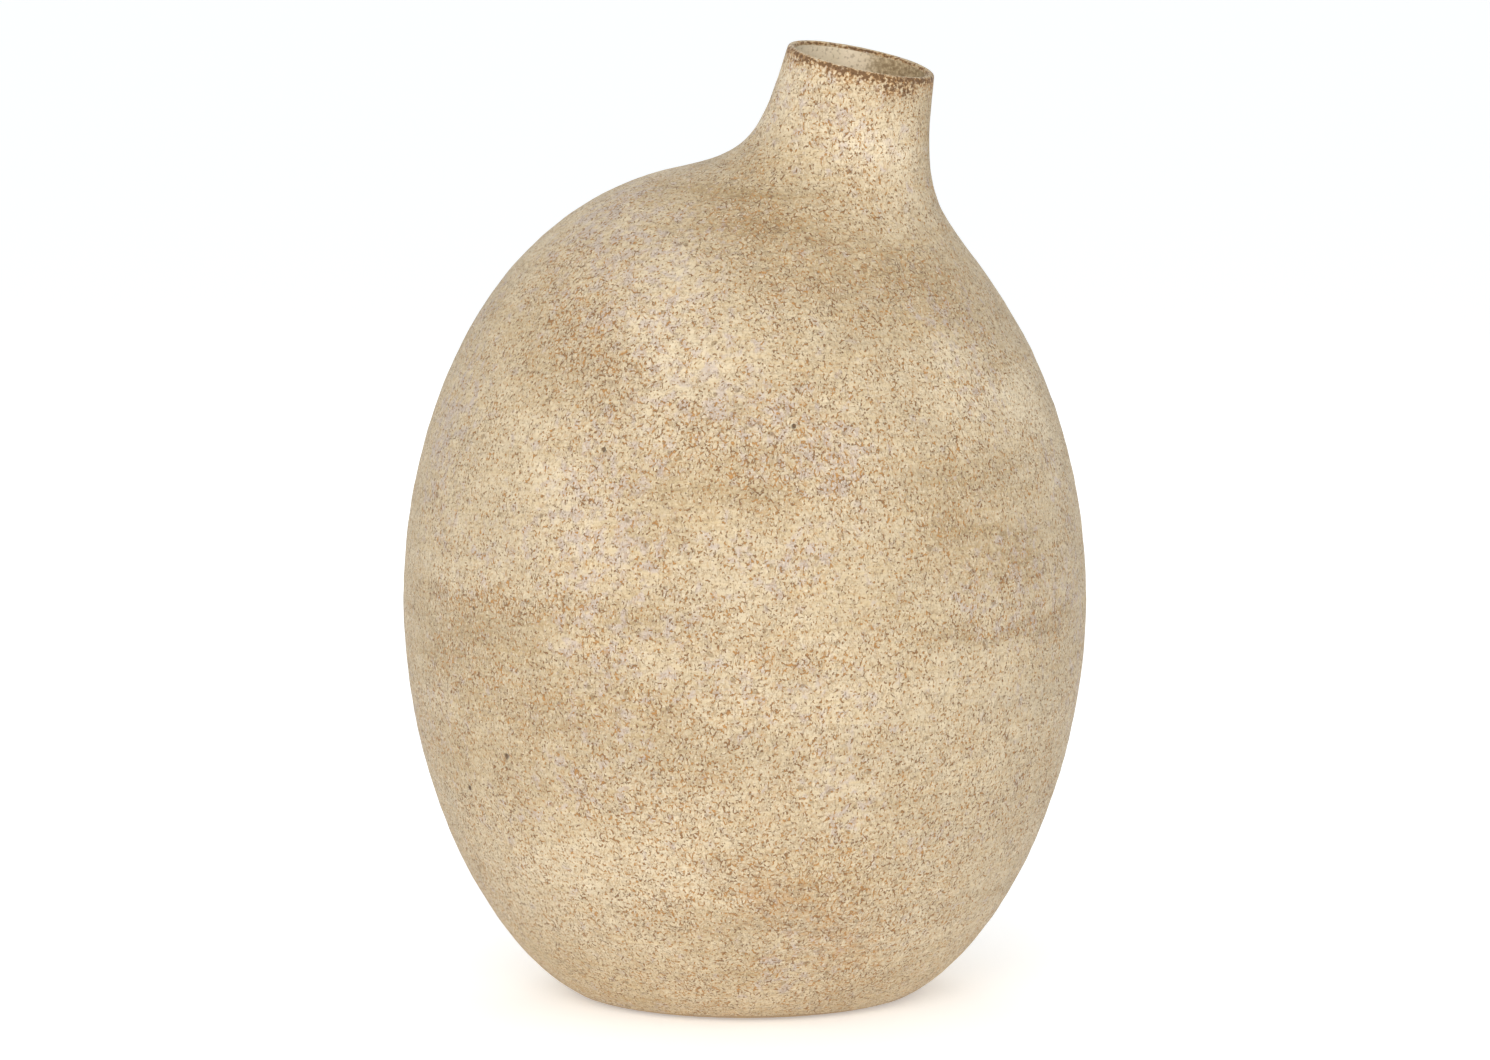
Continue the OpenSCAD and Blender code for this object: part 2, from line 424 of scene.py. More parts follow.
def strips(rows, finish):
    """Flat patches between rows of points that follow each other round the section."""
    made = []
    for first, second in zip(rows, rows[1:]):
        points = np.stack([first, second])
        column = np.roll(points, -1, axis=1) - np.roll(points, 1, axis=1)
        normal = unit(np.cross(second - first, column[0] + column[1]))
        made.append(patch(points, np.stack([normal, normal]), finish))
    return made


def is_pole(row):
    """True if all the points of a row are in one place."""
    return np.ptp(row, axis=0).max() < 1e-9


def ring_of(row, first_id):
    """Vertex numbers and vertices of one row, where a pole has a single vertex."""
    if is_pole(row):
        return np.full(len(row), first_id), row[:1]
    return first_id + np.arange(len(row)), row


def corners_of(rows, columns, pole_first, pole_last):
    """Row and column of each face's corners: squares, with triangles at the poles."""
    row, column = np.meshgrid(np.arange(rows - 1), np.arange(columns), indexing="ij")
    row, column = row.ravel(), column.ravel()
    after = (column + 1) % columns
    square_rows = np.stack([row, row + 1, row + 1, row], -1)
    square_columns = np.stack([column, column, after, after], -1)
    squares = np.stack([square_rows, square_columns], -1)
    first, last = pole_first & (row == 0), pole_last & (row == rows - 2)
    groups = (squares[~first & ~last], squares[first][:, :3], squares[last][:, [0, 1, 3]])
    return [group for group in groups if len(group)]


def sew(name, node, slot, patches, materials):
    """One closed mesh from patches that run down the outside, in and up the inside."""
    vertices, ids, count = [], [], 0
    for number, part in enumerate(patches):
        rings = []
        for index, row in enumerate(part["points"]):
            if index == 0 and number and not part["fresh"]:
                rings.append(ids[-1][-1])
                continue
            closes = number == len(patches) - 1 and index == len(part["points"]) - 1
            if closes and not is_pole(row):
                rings.append(ids[0][0])
                continue
            ring, own = ring_of(row, count)
            rings.append(ring)
            vertices.append(own)
            count += len(own)
        ids.append(np.stack(rings))
    gathered = []
    for part, rings in zip(patches, ids):
        poles = [bool(rings[k][0] == rings[k][1]) for k in (0, -1)]
        shape = part["points"].shape[:2]
        marks = tones = np.zeros(shape + (4,))
        if part["finish"] == SLIP:
            marks, tones = slip_marks(part["points"]), slip_tones(part["points"], part["rim"])
        for group in corners_of(*shape, *poles):
            where = (group[..., 0].ravel(), group[..., 1].ravel())
            size = np.full(len(group), group.shape[1])
            finish = np.full(len(group), part["finish"])
            values = [each[where] for each in (rings, part["normals"], marks, tones)]
            gathered.append([size, finish, *values])
    columns = [np.concatenate(column) for column in zip(*gathered)]
    return as_object(name, node, slot, materials, np.concatenate(vertices), *columns)


def placed(name, data):
    """A new object in the scene, at the origin."""
    thing = bpy.data.objects.new(name, data)
    bpy.context.scene.collection.objects.link(thing)
    return thing


def as_object(
    name, node, slot, materials, points, sizes, finishes, corners, normals, marks, tones
):
    """A mesh object from whole arrays, which rides on the vase and stands for a CAD node."""
    mesh = bpy.data.meshes.new(name)
    mesh.vertices.add(len(points))
    mesh.vertices.foreach_set("co", points.ravel())
    mesh.loops.add(len(corners))
    mesh.loops.foreach_set("vertex_index", corners.astype(np.int32))
    mesh.polygons.add(len(sizes))
    mesh.polygons.foreach_set("loop_start", (np.cumsum(sizes) - sizes).astype(np.int32))
    for material in materials:
        mesh.materials.append(material)
    mesh.polygons.foreach_set("material_index", finishes.astype(np.int32))
    mesh.update(calc_edges=True)
    if mesh.validate():
        raise RuntimeError(f"{name}: the mesh had faults")
    mesh.shade_smooth()
    for title, values in (("slip_marks", marks), ("slip_tones", tones)):
        layer = mesh.attributes.new(title, "FLOAT_COLOR", "CORNER")
        layer.data.foreach_set("color", values.astype(np.float32).ravel())
    mesh.normals_split_custom_set(normals.tolist())
    piece = placed(name, mesh)
    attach(piece, "root")
    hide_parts(node)
    return piece


# ---- Shader maths ----


class Wire:
    """A value in a material. Sums on wires and numbers add Math nodes."""

    def __init__(self, tree, socket=None):
        self.tree = tree
        self.socket = socket

    def add(self, kind, settings, inputs, output=0):
        """Adds a node: its settings first, then its sockets' values or links."""
        node = self.tree.nodes.new(kind)
        for name, value in settings.items():
            setattr(node, name, value)
        for name, value in inputs.items():
            if isinstance(value, Wire):
                self.tree.links.new(value.socket, node.inputs[name])
            else:
                node.inputs[name].default_value = value
        return Wire(self.tree, node.outputs[output])

    def math(self, operation, *values):
        return self.add("ShaderNodeMath", {"operation": operation}, dict(enumerate(values)))

    def __add__(self, other):
        return self.math("ADD", self, other)

    def __sub__(self, other):
        return self.math("SUBTRACT", self, other)

    def __mul__(self, other):
        return self.math("MULTIPLY", self, other)

    __radd__ = __add__
    __rmul__ = __mul__

    def __rsub__(self, other):
        return self.math("SUBTRACT", other, self)

    def __abs__(self):
        return self.math("ABSOLUTE", self)

    def most(self, other):
        return self.math("MAXIMUM", self, other)

    def ramp(self, low, high):
        """Nought at low, one at high, and a smooth step in between."""
        return self.add(
            "ShaderNodeMapRange",
            {"interpolation_type": "SMOOTHSTEP"},
            {"Value": self, "From Min": low, "From Max": high},
        )

    def vector(self, operation, other, output=0):
        slot = "Scale" if operation == "SCALE" else 1
        sockets = {0: self, slot: other}
        return self.add("ShaderNodeVectorMath", {"operation": operation}, sockets, output)

    def noise(self, size, detail=2.0, output=0):
        """Noise at this place, whose lumps are about size millimetres across."""
        sockets = {"Vector": self, "Scale": 1 / size, "Detail": detail}
        return self.add("ShaderNodeTexNoise", {}, sockets, output)

    def swayed(self, size, reach):
        """This place, pushed up to about half of reach millimetres each way by noise."""
        push = self.noise(size, 1.0, 1).vector("SUBTRACT", (0.5, 0.5, 0.5))
        return self.vector("ADD", push.vector("SCALE", reach))

    def cells(self, size, feature="F1", output=0):
        """Voronoi cells about size millimetres across."""
        sockets = {"Vector": self, "Scale": 1 / size}
        return self.add("ShaderNodeTexVoronoi", {"feature": feature}, sockets, output)

    def edges(self, size):
        """Millimetres to the nearest border of cells about size millimetres across."""
        return self.cells(size, "DISTANCE_TO_EDGE") * size

    def stretched(self, *scale):
        """This place scaled along X, Y and Z. A pattern is longer where the scale is small."""
        return self.vector("MULTIPLY", scale)

    def channel(self, number):
        """One channel of this colour: 0 is red, 1 is green and 2 is blue."""
        return self.add("ShaderNodeSeparateColor", {}, {0: self}, number)

    def painted(self, name):
        """The four values of an attribute that is painted on the mesh."""
        paint = self.add("ShaderNodeAttribute", {"attribute_name": name}, {})
        alpha = Wire(paint.tree, paint.socket.node.outputs["Alpha"])
        return *[paint.channel(k) for k in range(3)], alpha

    def grey(self):
        """A grey as light as this value."""
        return self.add("ShaderNodeCombineColor", {}, {0: self, 1: self, 2: self})

    def between(self, first, second):
        """The first colour where this value is nought, the second where it is one."""
        sockets = {0: self, 6: solid(first), 7: solid(second)}
        return self.add("ShaderNodeMix", {"data_type": "RGBA"}, sockets, 2)

    def mixed(self, other, share, blend="MIX"):
        """This colour, mixed with another by a share."""
        settings = {"data_type": "RGBA", "blend_type": blend}
        return self.add("ShaderNodeMix", settings, {0: share, 6: self, 7: solid(other)}, 2)


def new_material(name, constants):
    """An empty material: its start wire, and its shader with the constants set."""
    material = bpy.data.materials.new(name)
    material.use_nodes = True
    tree = material.node_tree
    shader = tree.nodes["Principled BSDF"]
    for title, value in constants.items():
        shader.inputs[title].default_value = value
    start = Wire(tree)
    place = start.add("ShaderNodeTexCoord", {}, {}, "Object").vector("SCALE", 1 / MM)
    return material, shader, place


def finish_with(shader, colour, roughness, height, depth):
    """Links the colour, the roughness and a bump of a height in millimetres."""
    sockets = {"Height": height, "Distance": MM, "Strength": depth}
    normal = height.add("ShaderNodeBump", {}, sockets)
    for title, wire in (("Base Color", colour), ("Roughness", roughness), ("Normal", normal)):
        wire.tree.links.new(wire.socket, shader.inputs[title])


def solid(colour):
    """A property's colour with full alpha. A wire stays as it is."""
    return colour if isinstance(colour, Wire) else (*colour, 1.0)


PITS = (
    (-106, 112.0, 134.6, 1.5), (-119, 95.0, 130.6, 1.2),
    (-14, 296.5, 96.0, 1.7), (-87, 236.0, 128.4, 1.0),
    (-53, 246.0, 124.8, 1.1), (-112, 170.0, 139.4, 1.0),
    (75, 210.0, 135.0, 1.4), (140, 120.0, 136.0, 1.6),
)


def slip_material(slip):
    """Cream slip that crackled over brown stain, with washes, blotches, dashes and pits, and with painted
    highlights and painted light on it.
    """
    constants = {"Specular IOR Level": 0.42, "Sheen Weight": 0.05, "Sheen Roughness": 0.4}
    material, shader, place = new_material("crackled_slip", constants)
    wash, lavender, cracks, spots = place.painted("slip_marks")
    # light holds pale rubs, painted highlights and painted light near the foot.
    creases, light, rim, ochre = place.painted("slip_tones")

    # Dashes: broken borders of cells that are taller than wide
    near = place.swayed(5.0, 3.2)
    fine = place.swayed(1.3, 1.1)
    border = fine.stretched(1.0, 1.0, 0.50).edges(1.7)
    flocked = place.noise(10.0, 2.0) * 0.14 - 0.07
    gate_tall = (place.noise(1.15, 1.0) + cracks * 0.24 + flocked).ramp(0.62, 0.67)
    dashes = border.ramp(0.27, 0.13) * gate_tall
    thin = near.stretched(1.3, 1.3, 0.42).edges(1.5)
    crazing = thin.ramp(0.20, 0.06) * (near.noise(1.7, 1.0) + cracks * 0.20).ramp(0.50, 0.62)
    small = near.stretched(1.0, 1.0, 0.75).edges(1.25)
    gate = near.noise(2.1, 1.0) + cracks * 0.18 + flocked
    hairs = small.ramp(0.20, 0.05) * gate.ramp(0.58, 0.67)
    wide = near.stretched(0.5, 0.5, 1.25).edges(2.6)
    gate = place.noise(3.0, 1.0) + creases * 0.35
    folds = wide.ramp(0.34, 0.08) * gate.ramp(0.66, 0.74)
    net = fine.edges(1.9)
    nets = net.ramp(0.34, 0.08) * creases.ramp(0.45, 0.85) * place.noise(1.9).ramp(0.42, 0.55)
    dot = fine.cells(2.9) * 2.9
    pick = fine.cells(2.9, "F1", 1).channel(0)
    rings = abs(dot - 0.62).ramp(0.26, 0.06) * pick.ramp(0.84, 0.88) * cracks.ramp(0.1, 0.5)
    points = dot.ramp(0.44, 0.16) * pick.ramp(0.24, 0.20)
    veins = dashes.most(hairs * 0.38).most(folds * 0.6).most(nets * 0.55)
    veins = veins.most(rings * 0.7).most(points * 0.8).most(crazing * 0.34)
    # Pale rims beside the dashes: slip rubbed pale where it curls up at the cracks, and painted highlight
    # for the lit edges of the relief.
    curls_and_highlights = border.ramp(0.75, 0.40) * gate_tall

    # Pebbles: small domes between the cracks
    pebble = near.cells(1.55, "SMOOTH_F1")
    grit = place.noise(0.8, 3.0)

    # Pits, where a stone blew out of the skin
    pits = None
    for bearing, height, radius, size in PITS:
        angle = math.radians(bearing)
        centre = (radius * math.cos(angle), radius * math.sin(angle), height)
        apart = fine.vector("DISTANCE", centre, 1).ramp(size, size * 0.45)
        pits = apart if pits is None else pits.most(apart)

    # Colour, from the ground up
    patchy = place.noise(7.0, 3.0)
    # Pale ground where the slip is rubbed pale, and where highlights and light near the foot are painted.
    rubbed_and_highlit = patchy.ramp(0.42, 0.66) * 0.3 + light.ramp(0.42, 1.0) * 0.80
    ground = rubbed_and_highlit.between(slip.cream, slip.pale)
    streak = place.stretched(0.07, 0.07, 1.0).noise(2.2, 3.0)
    brushed = place.stretched(0.11, 0.11, 1.0).noise(0.8, 2.0)
    tooth = grit * 0.5 + pebble * 0.9
    soaked = wash * (0.55 + streak.ramp(0.35, 0.65) * 0.5)
    blot = near.noise(4.6, 2.0) + lavender * 0.20
    spot = near.cells(4.6) * 4.6
    chosen = near.cells(4.6, "F1", 1).channel(1) + spots * 0.55
    spotted = spot.ramp(1.5, 0.8) * chosen.ramp(0.90, 0.98)
    ink = place.noise(4.0, 2.0).ramp(0.35, 0.62).between(slip.crack, slip.rust)
    smudge = place.noise(2.6, 2.0).ramp(0.36, 0.60)
    torn = place.noise(1.3, 3.0) + smudge * 0.05
    edge = rim.ramp(0.0, 0.4) * (torn + rim * 0.34).ramp(0.60, 0.76)
    for layer, share in (
        (slip.ochre, ochre * 0.40 + streak.ramp(0.46, 0.72) * 0.28),
        (slip.ochre, soaked * 0.50),
        (slip.brown, soaked * (tooth.ramp(0.35, 0.85) * 0.34 + 0.13)),
        (slip.lavender, blot.ramp(0.58, 0.78) * 0.70),
        (slip.brown, spotted * 0.60),
        # Painted highlight: pale on the pebbles' domed tops. The ochre after it darkens the hollows
        # between them.
        (slip.pale, pebble.ramp(0.34, 0.10) * 0.28),
        (slip.ochre, pebble.ramp(0.50, 0.85) * 0.22),
        # Pale rims beside the dashes: rubbed slip and painted highlight.
        (slip.pale, curls_and_highlights * 0.55),
        (ink, veins * 0.92),
        (ink, edge * 0.72),
        (slip.burnt, (torn + rim * 0.40).ramp(0.73, 0.90) * 0.85),
        (slip.burnt, pits * 0.85),
    ):
        ground = ground.mixed(layer, share)
    # Grey multiplier of the colour. It is lighter where the lightness holds painted highlights and painted
    # light near the foot. Grit lightens the raised grain as painted relief shading. Streaks and brush
    # marks are tone.
    tone_and_painted_light = light * 0.32 + grit * 0.28 + streak * 0.20 + brushed * 0.32 + 0.455
    colour = ground.mixed(tone_and_painted_light.grey(), 1.0, "MULTIPLY")

    rough = 0.66 + patchy * 0.16 - soaked * 0.08
    height = pebble * -0.48 + grit * 0.20 - veins * 0.40 - pits * 1.1
    height = height + streak * 0.20 + brushed * 0.20
    finish_with(shader, colour, rough, height, 1.0)
    return material


# Centre of a brown patch on the neck's inner wall, in millimetres.
INNER_PATCH_CENTRE = (59.0, 25.5, 376.0)


def inside_material(slip):
    """Thin wash over the inner wall, greyer and duller than the outside, and painted lighter than the slip
    as painted light inside the neck.
    """
    material, shader, place = new_material("inner_wash", {"Specular IOR Level": 0.3})
    patchy = place.noise(16.0, 3.0)
    grain = place.noise(1.2, 3.0)
    # Painted light: both greys are lighter than the pale slip itself, with weights that sum above one,
    # standing in for light inside the neck.
    greyed = [0.30 * a + 1.00 * b for a, b in zip(slip.lavender, slip.pale)]
    colour = patchy.ramp(0.38, 0.62).between(greyed, [1.10 * c for c in slip.pale])
    # A brown patch on the inner wall, below the lip on its +Y side, with more speckle in it.
    inner_brown_patch = place.swayed(9.0, 9.0).vector("DISTANCE", INNER_PATCH_CENTRE, 1).ramp(25.0, 7.0)
    colour = colour.mixed(slip.ochre, inner_brown_patch * 0.60)
    colour = colour.mixed(slip.brown, inner_brown_patch * grain.ramp(0.35, 0.65) * 0.65)
    speckle = place.noise(1.6, 2.0) + inner_brown_patch * 0.12
    colour = colour.mixed(slip.brown, speckle.ramp(0.54, 0.68) * 0.45)
    finish_with(shader, colour, patchy * 0.1 + 0.75, grain * 0.25 + patchy * 0.2, 0.8)
    return material


def bare_material(slip):
    """Bare fired clay, with iron specks, at the foot and in the joints."""
    material, shader, place = new_material("bare_clay", {"Specular IOR Level": 0.3})
    patchy = place.noise(9.0, 3.0)
    grain = place.noise(0.8, 3.0)
    speck = place.cells(2.2)
    colour = (patchy.ramp(0.3, 0.7) * 0.6).between(slip.clay, slip.ochre)
    colour = colour.mixed(slip.crack, speck.ramp(0.14, 0.06) * 0.7)
    finish_with(shader, colour, patchy * 0.1 + 0.8, grain * 0.2 + patchy * 0.1, 0.8)
    return material


def felt_material(slip):
    """Wool felt: matted fibres in two shades, soft and quite without gloss."""
    constants = {"Specular IOR Level": 0.15, "Sheen Weight": 0.5, "Sheen Roughness": 0.6}
    material, shader, place = new_material("wool_felt", constants)
    combed = place.swayed(2.0, 3.0).stretched(1.0, 0.25, 1.0).noise(0.35, 3.0)
    crossed = place.swayed(2.4, 3.0).stretched(0.25, 1.0, 1.0).noise(0.35, 3.0)
    fibre = combed.most(crossed)
    dark = [0.55 * c for c in slip.felt]
    colour = (fibre.ramp(0.5, 0.75) * 0.8).between(dark, slip.felt)
    finish_with(shader, colour, fibre * 0.1 + 0.88, fibre * 0.3, 0.9)
    return material


def finishes():
    """The clay's three finishes, made once."""
    slip = bpy.context.scene.vase_slip
    makers = {
        "crackled_slip": slip_material,
        "inner_wash": inside_material,
        "bare_clay": bare_material,
    }
    return [bpy.data.materials.get(name) or make(slip) for name, make in makers.items()]


# ---- Skins of the body ----


def outer_skin(outline, t, angles, upward, relief=skin_relief):
    """An outline turned round the axis and pressed by a relief along its normals."""
    radius, height = outline(t)
    along_r, along_z = slope_of(outline, t)
    side = 1.0 if upward else -1.0
    points = turned(radius, height, angles)
    normals = turned(side * along_z, -side * along_r, angles)
    return pressed(points, normals, relief)


def joint_rows(angles, radius, height, body, grow, outwards):
    """Rows of a V that points down at a joint, from the inside out or the outside in."""
    half = body.tongue_width / 2 + grow
    tip = height - body.tongue_height - grow
    rows = [(radius - half, height), (radius, tip), (radius + half, height)]
    rows = rows if outwards else rows[::-1]
    return [turned(r, z, angles) for r, z in rows]


def floor_joint_radius(body):
    """Radius of the joint between floor and wall: the middle of the wall there."""
    outer = base(height_param(body, body.floor_height), body)[0]
    inner = base_inner(np.array(inner_floor_param(body)), body)[0]
    return float(outer + inner) / 2


def column(count):
    """Shares from nought to one, as a column."""
    return np.linspace(0, 1, count)[:, None]


def wall_piece(node, outer, inner, below, above):
    """A thrown wall: outer skin, the joint below, inner skin and the joint above."""
    patches = [patch(*outer, SLIP), *strips([outer[0][-1], *below, inner[0][0]], BARE)]
    patches += [patch(*inner, INSIDE), *strips([inner[0][-1], *above, outer[0][0]], BARE)]
    return sew(f"{node}_skin", node, "stoneware", patches, finishes())


def make_lower_bowl(body):
    """Lower half: outer skin, tongue below, inner skin, groove in the rim."""
    angles = bearings(BODY_COLUMNS)
    t = column(118) * height_param(body, body.floor_height)
    outer = outer_skin(lambda s: base(s, body), t, angles, False)
    t = column(30)[::-1] * inner_floor_param(body)
    radius, height = base_inner(t, body)
    along_r, along_z = slope_of(lambda s: base(s, body), t)
    normals = turned(along_z, -along_r, angles)
    inner = pressed(turned(radius, height, angles), normals, inner_relief)
    tongue = joint_rows(angles, floor_joint_radius(body), body.floor_height, body, 0, False)
    belly = body.belly_radius - body.wall / 2
    groove = joint_rows(angles, belly, body.belly_height, body, body.joint_gap, True)
    return wall_piece("lower_bowl", outer, inner, tongue, groove)


def neck_frame(body, neck):
    """Places that the neck is drawn from: its axis, its lip and the plane of its skirt."""
    axis = np.array([math.sin(neck.lean), 0, math.cos(neck.lean)])
    height = body.crown_height + neck.lip_rise
    lip = np.array([neck.lip_reach, 0, height]) - axis * neck.lip_thickness / 2
    spot = lambda z: np.array([neck.skirt_reach, 0, float(z[0])])
    rises = lambda z: np.array([shoulder_side(spot(z), body, 0)])
    low, high = np.array([body.belly_height]), np.array([body.crown_height])
    top = spot(bisect(rises, low, high))
    skin = shoulder_normal(top, body, 0)
    return axis, lip, top, skin, top - neck.skirt_cut * skin


def shoulder_side(points, body, inset):
    """Nought on the shoulder's skin, less inside: (z/H)^2 + (r/R)^n - 1."""
    radius = np.hypot(points[..., 0], points[..., 1])
    rise = body.crown_height - inset - body.belly_height
    height = np.maximum(points[..., 2] - body.belly_height, 0) / rise
    return height ** 2 + (radius / (body.belly_radius - inset)) ** body.shoulder_fullness - 1


def shoulder_normal(points, body, inset):
    """Outward normal of the shoulder's skin: the slope of shoulder_side."""
    radius = np.hypot(points[..., 0], points[..., 1])
    rise = body.crown_height - inset - body.belly_height
    power = body.shoulder_fullness
    pull = power * (radius / (body.belly_radius - inset)) ** power / radius ** 2
    up = 2 * (points[..., 2] - body.belly_height) / rise ** 2
    return unit(np.stack([pull * points[..., 0], pull * points[..., 1], up], -1))


def spokes(angles, axis):
    """Unit vectors square to a leaning axis, at angles round it."""
    return np.stack(
        [np.cos(angles) * axis[2], np.sin(angles), -np.cos(angles) * axis[0]], -1
    )


def dome_params(body, neck, angles, inset):
    """The t at which each meridian of the dome meets the flat joint of the neck."""
    skin, centre = neck_frame(body, neck)[3:]

    def rises(t):
        radius, height = shoulder(t, body, inset)
        return turned(radius, height, angles) @ skin - centre @ skin

    return bisect(rises, np.zeros(len(angles)), np.full(len(angles), math.pi / 2 - 1e-6))


def make_upper_dome(body, neck):
    """Upper half: outer skin from the neck's joint down, tongue, inner skin, flat joint."""
    angles = bearings(BODY_COLUMNS)
    t = column(120)[::-1] * dome_params(body, neck, angles, 0)
    outer = outer_skin(lambda s: shoulder(s, body, 0), t, angles, True)
    t = column(30) * dome_params(body, neck, angles, body.wall)
    inner, inner_n = outer_skin(
        lambda s: shoulder(s, body, body.wall), t, angles, True, lambda p: -inner_relief(p)
    )
    belly = body.belly_radius - body.wall / 2
    tongue = joint_rows(angles, belly, body.belly_height, body, 0, False)
    return wall_piece("upper_dome", outer, (inner, -inner_n), tongue, [])


def skirt_points(angles, body, neck, inset):
    """Points of the joint's plane where the skin passes through it, by bearing round it."""
    skin, centre = neck_frame(body, neck)[3:]
    spoke = spokes(angles, skin)
    rises = lambda d: shoulder_side(centre + d[..., None] * spoke, body, inset)
    reach = bisect(rises, np.zeros(angles.shape), np.full(angles.shape, body.belly_radius))
    return centre + reach[..., None] * spoke


def neck_surface(angles, share, body, neck, lip_radius, inset):
    """Cubic curves from the lip to the joint: straight below the lip, flat on the dome."""
    axis, lip, top = neck_frame(body, neck)[:3]
    spoke = spokes(angles, axis)
    start = lip + lip_radius * spoke
    stop = skirt_points(angles, body, neck, inset)
    down = spoke * math.sin(neck.flare) - axis * math.cos(neck.flare)
    skin = shoulder_normal(stop, body, inset)
    to_top = top - stop
    up = unit(to_top - (to_top * skin).sum(-1, keepdims=True) * skin)
    span = np.linalg.norm(stop - start, axis=-1, keepdims=True)
    second = start + neck.lip_pull * span * down
    third = stop + neck.skirt_pull * span * up
    k = share[..., None]
    return (
        (1 - k) ** 3 * start
        + 3 * (1 - k) ** 2 * k * second
        + 3 * (1 - k) * k ** 2 * third
        + k ** 3 * stop
    )


def neck_skin(angles, share, body, neck, lip_radius, inset):
    """Points of the neck's surface, and normals square to its steps down and round."""
    surface = lambda a, k: neck_surface(a, k, body, neck, lip_radius, inset)
    step = 0.0005
    down = surface(angles, share + step) - surface(angles, share - step)
    around = surface(angles + step, share) - surface(angles - step, share)
    return surface(angles, share), unit(np.cross(down, around))


def facing(angles):
    """One on the side of the neck that a sponge stained most, nought on the far side."""
    return 0.5 + 0.5 * np.cos(angles + math.radians(50))


def rim_strength(points, lip, axis, angles):
    """Brown band that a sponge leaves under the lip, strongest at the front."""
    under = (points - lip) @ axis / MM
    front = facing(angles)
    band = smooth(under + 4 * noise(points, 0.010, 81), -11, 1) * (0.24 + 0.42 * front)
    line = smooth(under + 1.6 * noise(points, 0.006, 82), -2.6, 0.2) * (0.30 + 0.70 * front)
    return np.maximum(band, line)


def lip_strength(turn, angles):
    """Thin brown lines on the lip's outer and inner edges, with a pale top between them."""
    front = facing(angles)
    outer = np.exp(-(((np.degrees(turn) - 18) / 52) ** 2))
    inner = np.exp(-(((np.degrees(turn) - 146) / 26) ** 2))
    return outer * (0.50 + 0.50 * front) + inner * 0.80


def make_neck_collar(body, neck):
    """Neck: outer skin from the lip to the joint, flat joint, inner skin, rounded lip."""
    angles = bearings(NECK_COLUMNS)[None, :]
    axis, lip = neck_frame(body, neck)[:2]
    share = column(112) ** 1.25 + 0 * angles
    base_points, normals = neck_skin(angles, share, body, neck, neck.lip_radius, 0)
    outer, outer_n = pressed(base_points, normals, skin_relief)
    outer_rim = rim_strength(base_points, lip, axis, angles)
    inner_radius = neck.lip_radius - neck.lip_thickness
    share = 1 - column(44) ** 0.8 + 0 * angles
    base_inner_points, normals = neck_skin(angles, share, body, neck, inner_radius, body.wall)
    inner, inner_n = pressed(base_inner_points, -normals, inner_relief)
    turn = math.pi * (1 - column(14)) + 0 * angles
    half = neck.lip_thickness / 2
    spoke = spokes(angles, axis)
    lip_n = spoke * np.cos(turn)[..., None] + axis * np.sin(turn)[..., None]
    ring = lip + spoke * (neck.lip_radius - half) + half * lip_n
    top, top_n = pressed(ring, lip_n, skin_relief)
    lip_rim = lip_strength(turn, angles)
    patches = [patch(outer, outer_n, SLIP, outer_rim)]
    patches += strips([outer[-1], inner[0]], BARE)
    patches += [patch(inner, inner_n, INSIDE), patch(top, top_n, SLIP, lip_rim)]
    return sew("neck_collar_skin", "neck_collar", "stoneware", patches, finishes())


def bend(start, corner, stop, count):
    """Points of a quadratic curve that rounds a corner."""
    k = column(count)
    start, corner, stop = np.array(start), np.array(corner), np.array(stop)
    return (1 - k) ** 2 * start + 2 * (1 - k) * k * corner + k ** 2 * stop


def section_of(start, *legs):
    """Points of a section, leg by leg: a straight one to its end, or a bend round a corner.

    A leg is its number of points, then its end, or its corner and its end.
    """
    rows = [np.array([start])]
    for count, *knots in legs:
        first = rows[-1][-1]
        straight = len(knots) == 1
        leg = np.linspace(first, *knots, count) if straight else bend(first, *knots, count)
        rows.append(leg[1:])
    return np.concatenate(rows)


def outline_normals(outline):
    """Normals of a section's points: its steps turned a quarter, to the clay's outside."""
    step = unit(np.gradient(outline, axis=0))
    return -step[:, 1:], step[:, :1]


